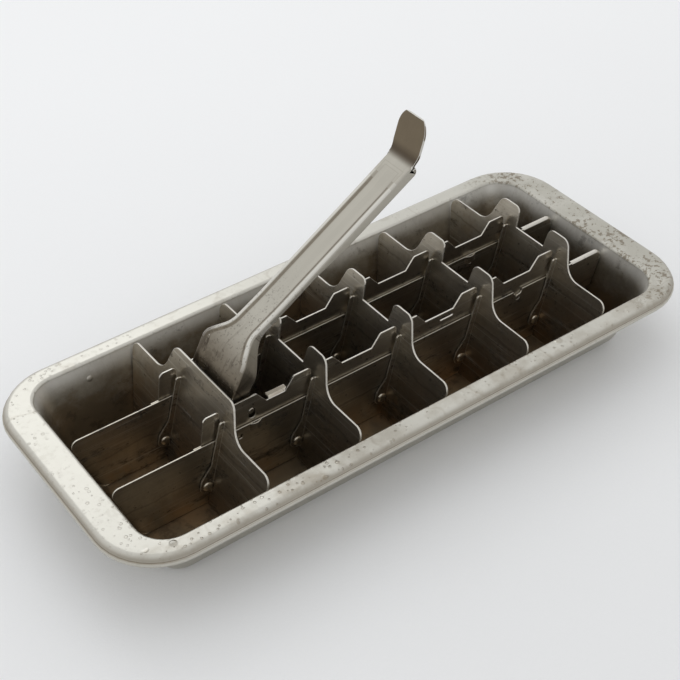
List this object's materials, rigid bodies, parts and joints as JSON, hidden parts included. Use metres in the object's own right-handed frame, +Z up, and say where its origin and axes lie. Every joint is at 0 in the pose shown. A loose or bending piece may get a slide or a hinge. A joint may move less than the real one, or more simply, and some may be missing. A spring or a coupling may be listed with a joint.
{
  "type": "lever ice cube tray",
  "caption": "Stainless steel ice cube tray: a drawn pan with a lift-out divider grid whose raised lever tips the cross dividers to free the cubes.",
  "frame": {"origin": "on the table under the pan's centre, at the bottom centre of the box round the part", "axes": "+X along the tray from the lever's foot to the far end, +Y to the back, +Z up"},
  "size_m": [0.2784, 0.1208, 0.1254],
  "materials": {
    "pan_steel": "satin",
    "grid_steel": "satin",
    "lever_steel": "satin"
  },
  "bodies": {
    "pan": {"tray_pan": "pan_steel"},
    "grid": {"long_divider_front": "grid_steel", "long_divider_back": "grid_steel", "lever_pivot_rod": "grid_steel", "plate_rivets_front": "grid_steel", "plate_rivets_back": "grid_steel", "guide_rivet_front": "grid_steel", "guide_rivet_back": "grid_steel"},
    "lever": {"lever_handle": "lever_steel", "drive_pin_front": "grid_steel", "drive_pin_back": "grid_steel"},
    "bar_front": {"slide_bar_front": "grid_steel"},
    "bar_back": {"slide_bar_back": "grid_steel"},
    "cross_1": {"cross_divider_1": "grid_steel"},
    "cross_2": {"cross_divider_2": "grid_steel"},
    "cross_3": {"cross_divider_3": "grid_steel"},
    "cross_4": {"cross_divider_4": "grid_steel"},
    "cross_5": {"cross_divider_5": "grid_steel"}
  },
  "joints": [
    {"name": "grid_lift_out", "type": "slide", "parent": "pan", "child": "grid", "axis": [0, 0, 1], "range_m": [0, 0.06]},
    {"name": "lever_hinge", "type": "hinge", "parent": "grid", "child": "lever", "pos_m": [-0.059, 0, 0.0281], "axis": [0, -1, 0], "range_deg": [-35.5, 32]},
    {"name": "bar_front_slide", "type": "slide", "parent": "grid", "child": "bar_front", "axis": [1, 0, 0], "range_m": [-0.00421, 0.00467]},
    {"name": "bar_back_slide", "type": "slide", "parent": "grid", "child": "bar_back", "axis": [1, 0, 0], "range_m": [-0.00421, 0.00467]},
    {"name": "cross_1_hinge", "type": "hinge", "parent": "grid", "child": "cross_1", "pos_m": [-0.0838, 0, 0.0108], "axis": [0, -1, 0], "range_deg": [-10.04, 9.06]},
    {"name": "cross_2_hinge", "type": "hinge", "parent": "grid", "child": "cross_2", "pos_m": [-0.0418, 0, 0.0108], "axis": [0, -1, 0], "range_deg": [-10.04, 9.06]},
    {"name": "cross_3_hinge", "type": "hinge", "parent": "grid", "child": "cross_3", "pos_m": [0.0002, 0, 0.0108], "axis": [0, -1, 0], "range_deg": [-10.04, 9.06]},
    {"name": "cross_4_hinge", "type": "hinge", "parent": "grid", "child": "cross_4", "pos_m": [0.0422, 0, 0.0108], "axis": [0, -1, 0], "range_deg": [-10.04, 9.06]},
    {"name": "cross_5_hinge", "type": "hinge", "parent": "grid", "child": "cross_5", "pos_m": [0.0842, 0, 0.0108], "axis": [0, -1, 0], "range_deg": [-10.04, 9.06]}
  ],
  "couplings": [
    {"joint": "bar_front_slide", "follows": "lever_hinge", "m_per_rad": -0.00745},
    {"joint": "bar_back_slide", "follows": "lever_hinge", "m_per_rad": -0.00745},
    {"joint": "cross_1_hinge", "follows": "lever_hinge", "ratio": 0.28},
    {"joint": "cross_2_hinge", "follows": "lever_hinge", "ratio": 0.28},
    {"joint": "cross_3_hinge", "follows": "lever_hinge", "ratio": 0.28},
    {"joint": "cross_4_hinge", "follows": "lever_hinge", "ratio": 0.28},
    {"joint": "cross_5_hinge", "follows": "lever_hinge", "ratio": 0.28}
  ]
}
